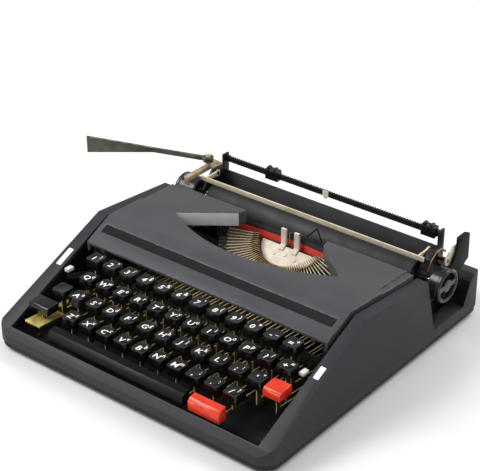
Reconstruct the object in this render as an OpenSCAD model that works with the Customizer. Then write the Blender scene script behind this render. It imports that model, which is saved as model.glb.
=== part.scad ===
// Portable manual typewriter in millimetres.
// +X is the typist's right, +Y is the back, +Z is up.
// The origin is the centre of the footprint on the table.

/* [Body shell] */
// Room between the keyboard and the sides of its well
well_gap = 4.5; // [3.5:0.5:6]
// Distance from the platen's middle to the rear wall
rear_room = 62.5; // [60:0.5:70]
// Wall thickness of the shell
wall = 3; // [2:0.5:4]
// Radius of the upright corners
corner_r = 15; // [8:1:20]
// How far each side wall leans in from foot to rail
side_draft = 3.8; // [1:0.1:5]
// Width of the side rails, from the outside to the well
rim_w = 14.5; // [13:0.5:16]
// Height of the front lip's outer edge
lip_z = 16.6; // [14:0.1:19]
// Height of the front lip's inner edge
lip_top_z = 22; // [20:0.5:24]
// Width of the front lip
lip_w = 6; // [4:0.5:7]
// Height of the side rails at their bend
rail_z = 76; // [74:0.5:77]
// Height of the side rails at the carriage notch
rail_end_z = 67.6; // [64:0.2:69]
// Height of the rear wall
rear_h = 42; // [36:1:46]
// Height of the side walls under the carriage
notch_z = 17.8; // [14:0.2:20]

/* [Base] */
// Height of the rubber feet
foot_h = 4; // [3:0.5:6]
// Radius of the rubber feet
foot_r = 8; // [6:0.5:10]
// Height of the base tray
tray_h = 5; // [4:0.5:6]
// Sheet thickness of the base tray
tray_t = 2; // [1.5:0.25:2.5]
// Radius of the foot screws
screw_r = 1.8; // [1.5:0.1:2.2]

/* [Top cover] */
// Length of the cover, front to rear
cover_len = 115.2; // [104:0.2:126]
// Thickness of the cover
cover_t = 2.5; // [2:0.25:3]
// Height of the cover at its bend
cover_bend_z = 78.2; // [78:0.2:79]
// Height of the cover at its front edge
cover_front_z = 64.7; // [64.2:0.1:65.5]
// Height of the cover at its rear edge
cover_rear_z = 73.4; // [72.5:0.1:75]
// Depth of the cover's side skirts
skirt_h = 9; // [7:0.5:9.5]
// Distance between the side corners of the type opening
opening_w = 175; // [160:1:178]
// Width of the type opening at the rear edge
throat_w = 92; // [86:1:104]
// Depth of the walls beside the type opening
opening_wall_h = 13; // [10:0.5:13]
// Radius of the cover's hinge rod
hinge_r = 2; // [1.5:0.1:2.2]

/* [Keyboard] */
// Distance between neighbouring keys
key_pitch = 19; // [18.6:0.1:19.2]
// Room for the shift and red keys beside the first row's end keys
key_end_room = 22.5; // [20.5:0.5:25]
// Distance between key rows, front to back
row_step_y = 17.85; // [16.5:0.05:18]
// Height step between key rows
row_step_z = 7.5; // [6.5:0.1:7.6]
// Width of a key top
key_w = 13.5; // [12:0.25:14]
// Height of a key top
key_h = 8; // [6:0.25:8.5]
// Depth of the dish in a key top
dish_d = 0.7; // [0.3:0.1:1]
// Travel of a key
key_travel = 12; // [8:0.5:12.5]
// Thickness of a key lever
lever_t = 1.2; // [0.8:0.1:1.4]
// Height of a key lever's bar
lever_h = 5; // [4:0.25:5.5]
// Radius of the rod that the key levers turn on
fulcrum_r = 2; // [1.5:0.1:2.2]
// Length of the space bar
space_w = 145; // [130:1:146]

/* [Type basket] */
// Tilt of the type segment, front edge down
basket_tilt = 30; // [27:0.5:32]
// Radius at which the typebars turn
pivot_r = 36; // [35:0.25:36.5]
// Number of typebars
bar_count = 45; // [41:2:47]
// Angle of the whole fan of typebars
fan_angle = 150; // [144:1:152]
// Thickness of a typebar
bar_t = 0.9; // [0.7:0.05:1]
// Height of a typebar
bar_h = 4; // [3:0.25:4.5]
// Length of a typebar from its pivot
bar_len = 32.5; // [31:0.25:32.5]
// Width of the ink ribbon
ribbon_w = 13; // [12:0.5:13]

/* [Carriage] */
// How far right of the middle the carriage stands
carriage_x = 8; // [0:1:20]
// Radius of the platen
platen_r = 16; // [15:0.25:16.25]
// Length of the platen
platen_len = 221; // [214:1:221]
// Radius of the platen's shaft
shaft_r = 4; // [3:0.25:5]
// Radius of the platen knobs
knob_r = 15; // [13:0.5:15.5]
// Width of the right platen knob
knob_w = 13; // [10:0.5:15]
// Width of the left platen knob
left_knob_w = 22; // [13:0.5:24]
// Thickness of the carriage's end plates
end_t = 2; // [1.5:0.25:2.25]
// Height of the paper bail's bar
bail_h = 4.5; // [3.5:0.25:5]
// Height of the margin rail's middle
rail_mid_z = 86; // [85:0.5:88]
// Pitch of the margin rail's teeth
tooth_pitch = 2.54; // [2.1:0.02:3]
// Radius of the feed rollers
feed_r = 4; // [3.5:0.1:4]
// Height of the return lever's paddle
paddle_h = 18; // [14:0.5:18]

/* [Hidden] */

// Gaps between pieces
run_gap = 0.05;
clear_gap = 0.3;
fine = 48;

// Heights that stack up from the table
tray_top = foot_h + tray_h;
floor_z = foot_h + tray_t;

// Width of the shell, from the keyboard outwards
keyboard_half = 5.5 * key_pitch + key_end_room;
well_half = keyboard_half + well_gap;
body_w = 2 * (well_half + rim_w);

// Depth of the shell, from the lip over keyboard, cover and platen to the rear wall
cap_gap = 2.7;
front_cap_d = 8.8;
cap_row_gap = 13.05;
cover_gap = 12.8;
platen_gap = 27.4;
keyboard_d = lip_w + cap_gap + front_cap_d + cap_row_gap + 3 * row_step_y;
body_d = keyboard_d + cover_gap + cover_len + platen_gap + rear_room;
front_y = -body_d / 2;
rear_y = body_d / 2;
lip_y = front_y + lip_w;
row_1_y = front_y + keyboard_d;
cover_front_y = row_1_y + cover_gap;
cover_bend_y = cover_front_y + 29.8;
cover_rear_y = cover_front_y + cover_len;
platen_y = cover_rear_y + platen_gap;

// Side outline of the shell
bend_y = cover_bend_y + 0.9;
rail_end_y = cover_rear_y + 3.6;
notch_front_y = cover_rear_y + 12.5;
notch_rear_y = platen_y + 31.5;
hump_y = rear_y - 20;
hump_z = 37;
hump_top_y = rear_y - 14;
rear_round = 5;
well_rear_y = rear_y - 17;

// Top cover, fitted between the side rails
cover_rear_half = well_half - 1;
cover_front_half = well_half - 4;
front_slope = (cover_bend_z - cover_front_z) / (cover_bend_y - cover_front_y);
stripe_front_y = cover_front_y + 12.5;
stripe_rear_y = stripe_front_y + 8;
stripe_half = cover_front_half - 5;
stripe_d = 0.8;
grip_w = 6.5;
grip_d = 1.6;
grip_front_y = cover_rear_y - 43.1;
opening_corner_y = platen_y - 72;
opening_front_y = platen_y - 98.5;
opening_rise = opening_corner_y - opening_front_y;
opening_arc_r = (pow(opening_w / 2, 2) + pow(opening_rise, 2)) / (2 * opening_rise);
throat_y = cover_rear_y - 9.1;
hinge_y = cover_front_y + 6.6;
hinge_z = cover_front_z - 5.2;
lug_x = cover_front_half - 15.5;
lug_w = 4;
lug_r = 4.5;

// Inner frame
frame_half = well_half - 9.5;
frame_t = 2.5;
frame_in = frame_half - frame_t / 2;
frame_out = frame_half + frame_t / 2;
plate_mid_z = 46;
beam_front_y = platen_y - 34.5;
beam_rear_y = beam_front_y + 12;
beam_z = 20;
beam_top_z = 28;
plate_low_z = beam_top_z + 6;
rail_foot_z = 18;
comb_y = hinge_y + 6.5;
comb_t = 2;
comb_z = 30;
comb_h = 6;
selector_y = hinge_y + 5.5;
selector_z = 30;
selector_pin_r = 1.5;

// Keys and their levers
row_1_z = 62.5;
row_keys = [12, 12, 11, 10];
row_shift = [0, 0.442, 0.684, 1.179];
arm_share = 0.842;
row_1_x = -5.5 * key_pitch;
type_row = 2;
type_index = 5;
fulcrum_y = beam_front_y + 8;
fulcrum_z = floor_z + 5;
boss_r = fulcrum_r + 2;
lever_rise = 0.0815;
stem_w = 5;
space_left_x = row_1_x + 14.5;
cap_front_y = lip_y + cap_gap;
cap_rear_y = cap_front_y + front_cap_d;
cap_z = row_1_z - 4 * row_step_z;
arm_stem_y = cap_rear_y + 4;
arm_z = floor_z + 11;
arm_half = 1.8;
arm_top_z = cap_z - 5.5;
space_arm_x = [arm_x(space_left_x + 20), arm_x(space_left_x + space_w - 10.5)];
front_key_w = 31;
front_key_x = space_left_x + space_w + 5.5 + front_key_w / 2;
front_key_arm_x = arm_x(front_key_x + 6.5);
shift_w = 22;
shift_d = 14;
shift_x = shift_w / 2 - keyboard_half;
lock_x = row_1_x - 6;
right_key_w = 16.5;
right_key_d = 15.5;
right_key_x = keyboard_half - right_key_w / 2 - 1.15;

// Platen, print point and type basket
platen_z = 54.3;
platen_front_y = platen_y - platen_r;
ribbon_y = platen_front_y - 1.8;
ribbon_t = 0.4;
ribbon_z = 46;
basket_y = platen_front_y - 0.1;
basket_z = 55.4;
segment_in = pivot_r - 4.4;
segment_out = pivot_r + 2;
segment_base_z = -8;
segment_face_z = -5;
segment_top_z = 4.5;
chord_y = -8.9;
face_t = 2;
bar_step = fan_angle / (bar_count - 1);
bar_lift = 10;
slot_w = bar_t + 0.4;
slug_w = 3;
slug_h = 5;
slug_l = 7;
rest_r = pivot_r + 26;
rest_w = 4;
rest_top_z = (rest_r - pivot_r) * tan(bar_lift) - bar_h / 2 - 0.6;
guide_x = 4.6;
guide_w = 5;
guide_y = basket_y - 6.2;
guide_t = 2.2;
guide_top_z = 65;
fork_x = 2.4;
fork_w = 1;
fork_t = 0.6;
fork_lift = 7;

// Ribbon spools
spool_x = frame_in - 25.75;
spool_y = platen_y - 76.5;
spool_r = 22;
roll_r = 18;
spool_hub_r = 8;
spindle_r = 2.5;
flange_t = 1.5;
spool_gap = 0.3;
cup_r = 24;
cup_z = ribbon_z - spool_gap - flange_t - 0.5;
post_r = 1.6;

// Path of the ribbon from the left spool round its guide post to the middle
ribbon_hub = [-spool_x, spool_y];
ribbon_corner = [15 - spool_x, ribbon_y - 4.15];
ribbon_inner = [-10, ribbon_y];
coil_r = roll_r + 0.5;
ribbon_turn = ribbon_corner - ribbon_hub;
leave_a = atan2(ribbon_turn[1], ribbon_turn[0]) + acos(coil_r / norm(ribbon_turn));
ribbon_start = ribbon_hub + coil_r * [cos(leave_a), sin(leave_a)];
way_in = unit(ribbon_corner - ribbon_start);
way_out = unit(ribbon_inner - ribbon_corner);
post_dist = (post_r + ribbon_t / 2 + clear_gap) / sin(acos(-way_in * way_out) / 2);
post_place = ribbon_corner + post_dist * unit(way_out - way_in);

// Carriage, in its own middle
rail_in_y = platen_y - 6.9;
rail_in_rear_y = platen_y + 23.9;
rail_bar_w = 6.6;
rail_top_z = 30;
rail_half = frame_half + 3;
groove_z = 24;
groove_h = 3.4;
groove_d = 2.6;
bed_t = groove_h - 2 * clear_gap;
bed_z = groove_z + clear_gap;
bed_top_z = bed_z + bed_t;
end_in = platen_len / 2 + 5;
end_out = end_in + end_t;
pin_r = 1.5;
bail_y = platen_y - 8.5;
bail_z = 76.5;
bail_pivot_y = bail_y + 16;
bail_t = 1.3;
bail_arm_t = 1.8;
bail_arm_x = end_in - bail_arm_t - 0.5;
bail_half = end_out + 2.4;
pan_in = platen_r + 1.2;
pan_t = 1.2;
pan_back_y = platen_y + 21.5;
pan_back_z = 74;
rail_y = pan_back_y + 1;
rail_t = 2;
rail_h = 6;
stop_w = 14;
stop_left_x = -61;
stop_right_x = end_in - 10.5;
feed_rod_r = 1.5;
feed_dist = platen_r + feed_r + clear_gap;
feed_spread = 20;
feed_half_gap = feed_dist * sin(feed_spread);
feed_z = platen_z - feed_dist * cos(feed_spread);
feed_len = 34;
feed_pitch = platen_len / 2 - 46.5;
knob_in = end_out + 9.5;
knob_out = knob_in + knob_w;
left_knob_out = knob_in + left_knob_w;
ratchet_teeth = 30;
ratchet_r = 13;
ratchet_w = 3;
release_y = platen_y + 17.5;
release_z = 66;
release_x = end_out + 8.5;
release_t = 1.5;
clutch_y = release_y + 2;
clutch_z = 58;
clutch_x = end_out + 11;
clutch_t = 2.5;
end_top_z = 82;
end_foot_gap = 0.8;
end_front_y = platen_y - 10.5;
end_rear_y = platen_y + 25.5;
end_back_y = platen_y + 16.5;
flange_w = 7;
bracket_z = 79;
bracket_h = 4;
bracket_w = 5;
lever_pivot_x = -bail_half - 0.7 - bracket_w / 2;
lever_pivot_y = platen_y + 5.5;
lever_pin_r = 2.5;
lever_z = 89;
arm_h = 5;
arm_t = 1.8;
twist_x = lever_pivot_x - 51.9;
twist_y = lever_pivot_y - 17;
tip_x = lever_pivot_x - 108.9;
tip_y = lever_pivot_y - 46;

// Escapement, drum and bell
rack_pitch = 2;
pinion_teeth = 22;
pinion_r = pinion_teeth * rack_pitch / (2 * PI);
tooth_h = 0.8;
pinion_x = 12;
pinion_z = bed_z - 1.3 - pinion_r;
pinion_y = platen_y + 13.5;
pinion_w = 4;
wheel_r = 7.8;
wheel_teeth = 16;
wheel_w = 2;
axle_r = 1.5;
rack_half = end_in - 11.5;
drum_x = 32 - frame_half;
drum_y = platen_y + 8.5;
drum_r = 20;
drum_h = 9;
bell_x = frame_half - 47;
bell_y = rear_y - 18;
bell_r = 13;

function row_y(row) = row_1_y - row * row_step_y;
function row_z(row) = row_1_z - row * row_step_z;
function key_x(row, i) = row_1_x + (row_shift[row] + i) * key_pitch;
// X of the free lane between key levers that is nearest to x
function arm_x(x) = row_1_x + (round((x - row_1_x) / key_pitch - arm_share) + arm_share) * key_pitch;
function lever_mid(y) = fulcrum_z + lever_rise * (fulcrum_y - y);
function cover_top(y) = y < cover_bend_y
    ? cover_front_z + front_slope * (y - cover_front_y)
    : cover_bend_z + (cover_rear_z - cover_bend_z) * (y - cover_bend_y) / (cover_rear_y - cover_bend_y);
// X of every key lever, for the comb's slots
function lever_xs() = concat(
    [for (row = [0:3], i = [0:row_keys[row] - 1]) key_x(row, i)],
    space_arm_x, [front_key_arm_x, shift_x, lock_x, right_key_x]);

// Outline of a bent strip of thickness t along the plan points p
function unit(v) = v / norm(v);
function left_of(v) = [-v[1], v[0]];
function side_at(p, i) = i == 0 ? left_of(unit(p[1] - p[0]))
    : i == len(p) - 1 ? left_of(unit(p[i] - p[i - 1]))
    : let (a = left_of(unit(p[i] - p[i - 1])), b = left_of(unit(p[i + 1] - p[i]))) (a + b) / (1 + a * b);
function strip(p, t) = concat(
    [for (i = [0:len(p) - 1]) p[i] + side_at(p, i) * t / 2],
    [for (i = [len(p) - 1:-1:0]) p[i] - side_at(p, i) * t / 2]);

// Extrude a (y, z) outline along X, centred on x
module along_x(x, len) {
    translate([x, 0, 0]) rotate([90, 0, 90]) linear_extrude(len, center = true) children();
}

// Extrude an (x, z) outline along Y, starting at y
module along_y(y, len) {
    translate([0, y + len, 0]) rotate([90, 0, 0]) linear_extrude(len) children();
}

// A rod along X
module rod_x(r, x1, x2, y, z) {
    translate([x1, y, z]) rotate([0, 90, 0]) cylinder(r = r, h = x2 - x1, $fn = fine);
}

// Rectangle with round corners
module round_rect(w, d, r) {
    square([w - 2 * r, d], center = true);
    square([w, d - 2 * r], center = true);
    for (x = [-1, 1], y = [-1, 1])
        translate([x * (w / 2 - r), y * (d / 2 - r)]) circle(r, $fn = fine);
}

// Put a shape in the carriage's place
module on_carriage() {
    translate([carriage_x, 0, 0]) children();
}

// Put a shape in the basket's plane: local -Y runs down to the front, local Z faces up
module in_basket() {
    translate([0, basket_y, basket_z]) rotate([basket_tilt, 0, 0]) children();
}

// Outline of the shell seen from the side, or of its hollow at a wall of d
module side_outline(d) {
    polygon([
        [front_y + d, tray_top - d],
        [front_y + d, lip_z - d / 2],
        [lip_y + d, lip_top_z - d],
        [bend_y, rail_z - 1.05 * d],
        [rail_end_y - d, rail_end_z - d],
        [notch_front_y - d, notch_z - d],
        [notch_rear_y + d, notch_z - d],
        [hump_y + d, hump_z - d / 2],
        [hump_top_y, rear_h - d],
        [rear_y - rear_round, rear_h - d],
        [rear_y - d, rear_h - rear_round],
        [rear_y - d, tray_top - d]
    ]);
}

// Outline of the shell seen from the front, or of its hollow at a wall of d
module front_outline(d) {
    half = body_w / 2 - d;
    polygon([
        [-half, tray_top - d],
        [half, tray_top - d],
        [half - side_draft, rail_z],
        [half - side_draft, rail_z + 10],
        [-half + side_draft, rail_z + 10],
        [-half + side_draft, rail_z]
    ]);
}

// Block of the shell's shape, shrunk by d on every side
module shell_block(d) {
    intersection() {
        along_x(0, body_w - 2 * d) side_outline(d);
        along_y(front_y, body_d) front_outline(d);
        linear_extrude(2 * rail_z, center = true)
            round_rect(body_w - 2 * d, body_d - 2 * d, corner_r - d);
    }
}

// Moulded shell: side walls with rails, front lip, carriage notch and rear hump
module body_shell() {
    color("#38393c") difference() {
        shell_block(0);
        shell_block(wall);
        translate([-well_half, lip_y, 0]) cube([2 * well_half, well_rear_y - lip_y, 2 * rail_z]);
    }
}

// Pressed tray that closes the shell's underside, with the studs of drum and bell
module base_tray() {
    inset = 1;
    color("#232427") {
        difference() {
            translate([0, 0, foot_h]) linear_extrude(tray_h)
                round_rect(body_w - 2 * inset, body_d - 2 * inset, corner_r - inset);
            translate([0, 0, floor_z]) linear_extrude(tray_h)
                round_rect(body_w - 2 * wall, body_d - 2 * wall, corner_r - wall);
            foot_places() cylinder(r = screw_r + run_gap, h = floor_z + 1, $fn = fine);
        }
        translate([drum_x, drum_y, floor_z]) cylinder(r = spindle_r, h = drum_h + 2, $fn = fine);
    }
}

module foot_places() {
    for (x = [-1, 1], y = [-1, 1])
        translate([x * (body_w / 2 - 26), y * (body_d / 2 - 26), 0]) children();
}

// Four rubber feet with a recess for the screw's head
module rubber_feet() {
    color("#18181a") foot_places() difference() {
        cylinder(r1 = foot_r - 1, r2 = foot_r, h = foot_h, $fn = fine);
        translate([0, 0, -1]) cylinder(r = 2 * screw_r + clear_gap, h = foot_h / 2 + 1, $fn = fine);
        cylinder(r = screw_r + run_gap, h = foot_h + 1, $fn = fine);
    }
}

// Four screws that hold the feet to the tray
module base_screws() {
    color("#9a9b9e") foot_places() {
        translate([0, 0, foot_h / 2 - 1]) cylinder(r = 2 * screw_r, h = 1, $fn = fine);
        translate([0, 0, foot_h / 2]) cylinder(r = screw_r, h = tray_h + foot_h / 2, $fn = fine);
    }
}

// Two pressed side plates that carry the rods, beam, spool cups and carriage rails
module frame_plates() {
    color("#55565a") for (s = [-1, 1]) {
        difference() {
            along_x(s * frame_half, frame_t) polygon([
                [hinge_y - 3.3, floor_z], [hinge_y - 3.3, hinge_z + 3.5], [hinge_y + 3.5, hinge_z + 3.5],
                [hinge_y + 9.5, plate_mid_z], [spool_y + 18, plate_mid_z], [spool_y + 30, plate_low_z],
                [beam_rear_y + 2, plate_low_z], [rail_in_y - rail_bar_w - 3, rail_foot_z],
                [rail_in_rear_y + rail_bar_w, rail_foot_z], [rail_in_rear_y + rail_bar_w, floor_z]
            ]);
            rod_x(hinge_r + run_gap, -body_w, body_w, hinge_y, hinge_z);
            rod_x(fulcrum_r + run_gap, -body_w, body_w, fulcrum_y, fulcrum_z);
            along_x(0, body_w) translate([spool_y - 20, 24]) round_rect(34, 16, 6);
        }
        rod_x(selector_pin_r, min(s * frame_out, s * (frame_out + 3)),
            max(s * frame_out, s * (frame_out + 3)), selector_y, selector_z);
    }
}

// Cast beam between the side plates, with the leg of the type segment
module cross_beam() {
    color("#4a4b4f") {
        translate([-frame_in, beam_front_y, beam_z])
            cube([2 * frame_in, beam_rear_y - beam_front_y, beam_top_z - beam_z]);
        translate([-6, beam_rear_y, beam_z])
            cube([12, ribbon_y - ribbon_t / 2 - fork_t - 2 * clear_gap - beam_rear_y, beam_top_z - beam_z]);
        in_basket() translate([-12, -26, -20]) cube([24, 8, 20 + segment_base_z]);
    }
}

// Slotted comb that keeps the key levers upright
module lever_comb() {
    color("#77787b") along_y(comb_y, comb_t) difference() {
        translate([-frame_in, floor_z]) square([2 * frame_in, comb_z + comb_h - floor_z]);
        for (x = lever_xs())
            translate([x - lever_t / 2 - clear_gap, floor_z - 1])
                square([lever_t + 2 * clear_gap, comb_z + 1 - floor_z]);
    }
}

// Rod that all key levers turn on
module fulcrum_rod() {
    color("#b9babd") rod_x(fulcrum_r, -frame_out - 2, frame_out + 2, fulcrum_y, fulcrum_z);
}

// Half disc of radius r, cut off at the segment's chord
module chord_disc(r) {
    intersection() {
        circle(r, $fn = 2 * fine);
        translate([-2 * r, -2 * r]) square([4 * r, 2 * r + chord_y]);
    }
}

module bar_places(skip) {
    for (i = [0:bar_count - 1])
        if (i != skip) rotate((i - (bar_count - 1) / 2) * bar_step) children();
}

// Cast segment: a half ring with a slot for every typebar
module typebar_segment() {
    color("#5b4a35") in_basket() difference() {
        translate([0, 0, segment_base_z]) linear_extrude(segment_top_z - segment_base_z)
            chord_disc(segment_out);
        translate([0, 0, segment_face_z]) linear_extrude(2 * segment_top_z - segment_face_z)
            circle(segment_in, $fn = 2 * fine);
        bar_places(-1)
            translate([-slot_w / 2, -segment_out - 1, segment_face_z])
                cube([slot_w, segment_out - segment_in + 2, 2 * segment_top_z - segment_face_z]);
    }
}

// Bright face plate in the middle of the segment, with its rivets
module segment_face() {
    color("#d8d2c4") in_basket() {
        translate([0, 0, segment_face_z]) linear_extrude(face_t) chord_disc(segment_in - clear_gap);
        for (x = [-11, 0, 11])
            translate([x, -17 - abs(x) / 5, segment_face_z + face_t])
                cylinder(r1 = 2, r2 = 1.4, h = 0.8, $fn = 24);
    }
}

// Two prongs in front of the print point, with feet on the face plate and a wire finger at the right
module type_guide() {
    foot_z = segment_face_z + face_t;
    wire_r = 0.6;
    wire_y = guide_y + guide_t / 2;
    finger = [[guide_x + guide_w - 1, 64], [17.6, 65.5], [28.4, 77], [33.5, 65.5], [17.6, 65.5]];
    color("#d8d2c4") {
        for (s = [-1, 1]) {
            x = s > 0 ? guide_x : -guide_x - guide_w;
            translate([x, guide_y, basket_z - 6]) cube([guide_w, guide_t, guide_top_z - basket_z + 6]);
            in_basket() translate([x, -14, foot_z]) cube([guide_w, 7, 1.4]);
        }
        for (i = [0:len(finger) - 2]) {
            d = finger[i + 1] - finger[i];
            translate([finger[i][0], wire_y, finger[i][1]]) {
                rotate([0, 90 - atan2(d[1], d[0]), 0]) cylinder(r = wire_r, h = norm(d), $fn = 16);
                sphere(wire_r, $fn = 16);
            }
        }
    }
}

// Padded arc that the typebars lie on
module typebar_rest() {
    color("#2a2622") {
        in_basket() rotate(-90 - fan_angle / 2) rotate_extrude(angle = fan_angle, $fn = 2 * fine)
            translate([rest_r - rest_w / 2, rest_top_z - 4]) square([rest_w, 4]);
        for (s = [-1, 1])
            translate([s * rest_r * sin(fan_angle / 2 - 3), beam_front_y + 2.5, beam_top_z])
                cylinder(r = 2, h = 18, $fn = 24);
    }
}

// One typebar from its pivot outwards, lying along local -Y
module typebar() {
    translate([0, -pivot_r, 0]) rotate([-bar_lift, 0, 0]) {
        rod_x(bar_h / 2, -bar_t / 2, bar_t / 2, 0, 0);
        translate([-bar_t / 2, -bar_len, -bar_h / 2]) cube([bar_t, bar_len, bar_h]);
        translate([-slug_w / 2, -bar_len, -bar_h / 2]) cube([slug_w, slug_l, slug_h]);
    }
}

// All typebars at rest except the middle one
module typebars() {
    color("#c9c3b4") in_basket() bar_places((bar_count - 1) / 2) typebar();
}

// The middle typebar, which swings up to the platen
module typebar_struck() {
    color("#c9c3b4") in_basket() typebar();
}

// Fork that lifts the ribbon in front of the type
module ribbon_vibrator() {
    front = ribbon_y - ribbon_t / 2 - clear_gap - fork_t;
    rear = ribbon_y + ribbon_t / 2 + clear_gap;
    bridge_z = ribbon_z - fork_lift - 4;
    foot_z = beam_z + 2;
    full_w = 2 * (fork_x + fork_w);
    color("#cfcabd") {
        for (x = [-fork_x - fork_w, fork_x], y = [front, rear])
            translate([x, y, bridge_z]) cube([fork_w, fork_t, ribbon_z + ribbon_w + 2 - bridge_z]);
        translate([-full_w / 2, front, bridge_z]) cube([full_w, rear + fork_t - front, 2.5]);
        translate([-full_w / 2, front, foot_z]) cube([full_w, fork_t, bridge_z - foot_z]);
    }
}

// Two-colour ink ribbon from spool to spool, behind the guide posts
module ribbon() {
    left = [ribbon_start, ribbon_corner, ribbon_inner];
    right = [for (i = [2:-1:0]) [-left[i][0], left[i][1]]];
    color("#c0301c") translate([0, 0, ribbon_z]) linear_extrude(ribbon_w)
        polygon(strip(concat(left, right), ribbon_t));
}

// Spool with two flanges and its roll of ribbon
module spool(x) {
    color("#2d2d30") translate([x, spool_y, ribbon_z - spool_gap - flange_t]) difference() {
        union() {
            cylinder(r = spool_r, h = flange_t, $fn = fine);
            cylinder(r = roll_r, h = ribbon_w + 2 * (flange_t + spool_gap), $fn = fine);
            translate([0, 0, ribbon_w + 2 * spool_gap + flange_t])
                cylinder(r = spool_r, h = flange_t, $fn = fine);
        }
        translate([0, 0, -1]) cylinder(r = spindle_r + run_gap, h = 2 * ribbon_w, $fn = fine);
    }
}

module spool_left() {
    spool(-spool_x);
}

module spool_right() {
    spool(spool_x);
}

// Plates with spindles that the spools turn on, held by the side plates
module spool_cups() {
    cup_t = 1.5;
    color("#3b3c40") for (s = [0, 1]) mirror([s, 0, 0]) {
        translate([spool_x, spool_y, cup_z - cup_t]) cylinder(r = cup_r, h = cup_t, $fn = fine);
        translate([spool_x, spool_y, cup_z]) cylinder(r = spindle_r, h = ribbon_w + 6, $fn = fine);
        translate([spool_x, spool_y - 8, cup_z - cup_t - 3]) cube([frame_in - spool_x, 16, 3]);
    }
}

// Posts that turn the ribbon behind the type basket
module ribbon_guides() {
    color("#6c6d70") for (s = [-1, 1])
        translate([-s * post_place[0], post_place[1], beam_top_z])
            cylinder(r = post_r, h = ribbon_z + ribbon_w + 2 - beam_top_z, $fn = 24);
}

// Two grooved steel rails that the carriage slides in
module carriage_rails() {
    color("#8d8e92") {
        difference() {
            translate([-rail_half, rail_in_y - rail_bar_w, rail_foot_z])
                cube([2 * rail_half, rail_bar_w, rail_top_z - rail_foot_z]);
            translate([-rail_half - 1, rail_in_y - groove_d, groove_z])
                cube([2 * rail_half + 2, groove_d + 1, groove_h]);
        }
        difference() {
            translate([-rail_half, rail_in_rear_y, rail_foot_z])
                cube([2 * rail_half, rail_bar_w, rail_top_z - rail_foot_z]);
            translate([-rail_half - 1, rail_in_rear_y - 1, groove_z])
                cube([2 * rail_half + 2, groove_d + 1, groove_h]);
        }
    }
}

// Two upright plates that hold the escapement's axle
module escapement_bracket() {
    plate_t = 1.5;
    color("#77787b") difference() {
        union() {
            for (y = [pinion_y - 7, pinion_y + pinion_w + 2])
                translate([pinion_x - 6, y, floor_z]) cube([12, plate_t, pinion_z + 3.5 - floor_z]);
        }
        translate([pinion_x, pinion_y - 10, pinion_z]) rotate([-90, 0, 0])
            cylinder(r = axle_r + run_gap, h = 30, $fn = fine);
    }
}

// Outline of a wheel with n pointed teeth between radii r1 and r2, each w degrees wide
module toothed_disc(n, r1, r2, w) {
    polygon([for (i = [0:n - 1], k = [0:3])
        let (a = 360 * i / n + [-w, -w * 0.5, w * 0.5, w][k], r = [r1, r2, r2, r1][k])
        r * [cos(a), sin(a)]]);
}

// Escape wheel and the pinion that meshes with the carriage's rack, on one axle
module escapement_wheel() {
    color("#b5985a") translate([pinion_x, 0, pinion_z]) rotate([-90, 0, 0]) {
        translate([0, 0, pinion_y - 8]) cylinder(r = axle_r, h = pinion_w + 13, $fn = fine);
        translate([0, 0, pinion_y]) linear_extrude(pinion_w)
            rotate(90 + 180 / pinion_teeth) toothed_disc(pinion_teeth, pinion_r - 1, pinion_r + tooth_h, 4);
        translate([0, 0, pinion_y - 3]) linear_extrude(wheel_w)
            toothed_disc(wheel_teeth, wheel_r - 2, wheel_r, 5);
    }
}

// Drum of the spring that draws the carriage to the left
module mainspring_drum() {
    color("#8a8b8f") translate([drum_x, drum_y, floor_z + 1]) difference() {
        union() {
            cylinder(r = drum_r, h = drum_h, $fn = fine);
            cylinder(r = drum_r + 1.2, h = 1, $fn = fine);
            translate([0, 0, drum_h - 1]) cylinder(r = drum_r + 1.2, h = 1, $fn = fine);
        }
        translate([0, 0, -1]) cylinder(r = spindle_r + run_gap, h = drum_h + 2, $fn = fine);
        translate([0, 0, drum_h - 2]) difference() {
            cylinder(r = drum_r - 3, h = 3, $fn = fine);
            cylinder(r = spindle_r + 3, h = 3, $fn = fine);
        }
    }
}

// Margin bell on its post
module bell() {
    bell_t = 1.2;
    bell_top = 14;
    color("#b8b9bc") translate([bell_x, bell_y, floor_z]) {
        cylinder(r = 2, h = bell_top + 4, $fn = 24);
        translate([0, 0, 5]) rotate_extrude($fn = fine) difference() {
            intersection() {
                circle(bell_r, $fn = fine);
                square([bell_r, bell_r]);
            }
            intersection() {
                circle(bell_r - bell_t, $fn = fine);
                square([bell_r, bell_r]);
            }
        }
    }
}

// Rod that the cover turns on
module cover_hinge_rod() {
    color("#b9babd") rod_x(hinge_r, -frame_out - 1, frame_out + 1, hinge_y, hinge_z);
}

// Plan of the cover, shrunk by d on its sides and at its rear
module cover_plan(d) {
    polygon([
        [-cover_front_half + d, cover_front_y - d],
        [cover_front_half - d, cover_front_y - d],
        [cover_rear_half - d, cover_rear_y - d],
        [-cover_rear_half + d, cover_rear_y - d]
    ]);
}

// Space under the cover's top surface, lowered by drop and h deep
module cover_layer(drop, h) {
    along_x(0, 2 * cover_rear_half) polygon([
        for (y = [cover_front_y, cover_bend_y, cover_rear_y]) [y, cover_top(y) - drop],
        for (y = [cover_rear_y, cover_bend_y, cover_front_y]) [y, cover_top(y) - drop - h]
    ]);
}

// Plan of the type opening: an arc in front, slanting sides and a throat to the rear edge
module opening_plan() {
    intersection() {
        translate([0, opening_front_y + opening_arc_r]) circle(opening_arc_r, $fn = 4 * fine);
        polygon([
            [-opening_w / 2, opening_front_y], [opening_w / 2, opening_front_y],
            [opening_w / 2, opening_corner_y], [throat_w / 2, throat_y],
            [throat_w / 2 - 2, cover_rear_y + 5], [-throat_w / 2 + 2, cover_rear_y + 5],
            [-throat_w / 2, throat_y], [-opening_w / 2, opening_corner_y]
        ]);
    }
}

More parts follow.
